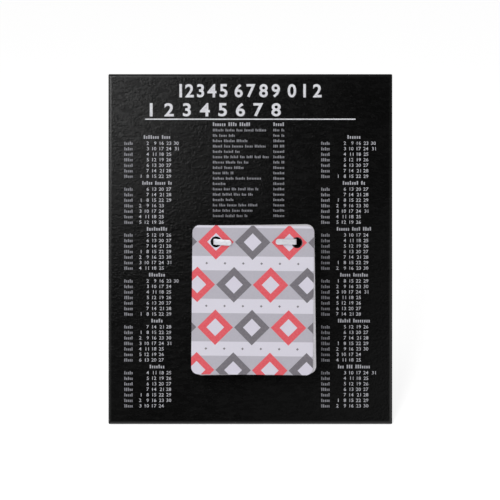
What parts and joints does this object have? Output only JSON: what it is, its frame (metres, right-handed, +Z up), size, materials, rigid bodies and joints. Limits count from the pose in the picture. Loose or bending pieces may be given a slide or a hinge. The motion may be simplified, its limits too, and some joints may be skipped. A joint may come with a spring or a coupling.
{
  "type": "tear-off desk calendar",
  "caption": "Upright leather-grain board on a folded easel strut, with a thick pad of tear-off leaves held by bent prongs.",
  "frame": {"origin": "middle of the bounding box's bottom face, on the desk", "axes": "+Z up from the desk, -Y out of the printed face, +X to the right as the face is read"},
  "size_m": [0.165, 0.081, 0.1951],
  "materials": {
    "greyboard": "raw greyboard",
    "wrap_black": "black leather-grain covering paper, low sheen, pale grey print",
    "liner_black": "matt black lining paper",
    "strut_card": "black card, matt",
    "chipboard": "raw chipboard",
    "leaf_paper": "thin uncoated white paper",
    "cover_print": "coated paper printed in silver-grey, red and dark grey",
    "prong_metal": "pale coated strip, soft sheen"
  },
  "bodies": {
    "root": {"board_core": "greyboard", "cover_wrap": "wrap_black", "back_liner": "liner_black", "easel_strut": "strut_card", "backing_card": "chipboard", "leaf_block": "leaf_paper", "cover_leaf": "cover_print", "prong_fastener": "prong_metal"}
  },
  "joints": []
}
